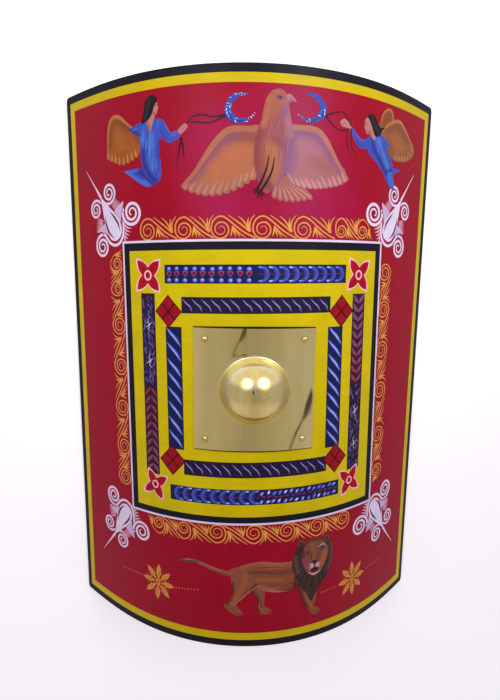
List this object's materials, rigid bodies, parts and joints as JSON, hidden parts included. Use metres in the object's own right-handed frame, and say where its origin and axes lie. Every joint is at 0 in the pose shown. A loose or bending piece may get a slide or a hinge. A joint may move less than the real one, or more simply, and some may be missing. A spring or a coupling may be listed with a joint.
{
  "type": "roman scutum shield",
  "caption": "Tall curved rectangular body shield: bent painted board, square plate with hollow domed boss over the hand hole, and a bar grip behind it.",
  "frame": {"origin": "middle of the bounding box's underside, between the two long edges that the shield rests on", "axes": "+Z up through the boss, out of the painted face; +Y along the shield towards its top end; +X towards its right-hand long edge, seen from above with +Y up"},
  "size_m": [0.7298, 1.05, 0.2523],
  "materials": {
    "painted_board": "plywood with gloss-painted face, dark painted rim and back stained plain",
    "polished_brass": "polished sheet brass, lightly smeared",
    "grip_timber": "plain oiled wood"
  },
  "bodies": {
    "root": {"board": "painted_board", "boss": "polished_brass", "rivet_top_left": "polished_brass", "rivet_top_right": "polished_brass", "rivet_bottom_left": "polished_brass", "rivet_bottom_right": "polished_brass", "grip": "grip_timber"}
  },
  "joints": []
}
